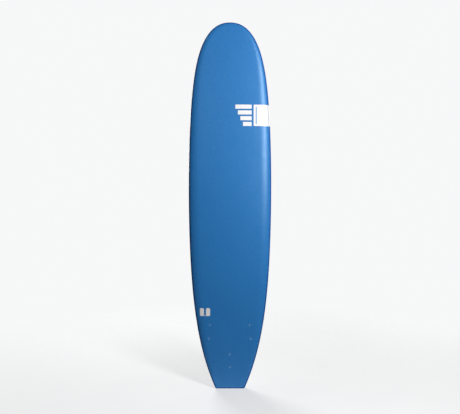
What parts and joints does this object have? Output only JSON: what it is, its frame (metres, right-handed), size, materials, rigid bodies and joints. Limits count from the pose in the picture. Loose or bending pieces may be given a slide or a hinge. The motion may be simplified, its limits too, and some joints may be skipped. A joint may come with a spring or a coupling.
{
  "type": "longboard surfboard",
  "caption": "Soft-top longboard with a rounded nose, square tail, foam deck and rails, slick plastic bottom, recessed carry grip and through-bolted fin inserts.",
  "frame": {"origin": "centre of the flat face at the tail end", "axes": "+Z from the tail to the nose, +X to the rider's right, -Y out of the deck and +Y out of the bottom"},
  "size_m": [0.595, 0.1481, 2.5908],
  "materials": {
    "deck_foam": "satin",
    "rail_foam": "satin",
    "slick": "gloss",
    "backing_foam": "matte",
    "grip_plastic": "matte",
    "sleeve_plastic": "matte",
    "ferrule_plastic": "satin",
    "core_foam": "matte",
    "stringer_wood": "raw",
    "glass_fibre": "gloss"
  },
  "bodies": {
    "root": {"core_left_outer": "core_foam", "core_left_inner": "core_foam", "core_right_inner": "core_foam", "core_right_outer": "core_foam", "stringer_left": "stringer_wood", "stringer_centre": "stringer_wood", "stringer_right": "stringer_wood", "deck_laminate": "glass_fibre", "bottom_laminate": "glass_fibre", "deck_skin": "deck_foam", "rail_skin": "rail_foam", "bottom_foam": "backing_foam", "slick_sheet": "slick", "handle_cup": "grip_plastic", "left_fin_sleeve_front": "sleeve_plastic", "left_fin_sleeve_rear": "sleeve_plastic", "right_fin_sleeve_front": "sleeve_plastic", "right_fin_sleeve_rear": "sleeve_plastic", "centre_fin_sleeve_front": "sleeve_plastic", "centre_fin_sleeve_rear": "sleeve_plastic", "left_deck_ferrule_front": "ferrule_plastic", "left_deck_ferrule_rear": "ferrule_plastic", "right_deck_ferrule_front": "ferrule_plastic", "right_deck_ferrule_rear": "ferrule_plastic", "centre_deck_ferrule_front": "ferrule_plastic", "centre_deck_ferrule_rear": "ferrule_plastic"}
  },
  "joints": []
}
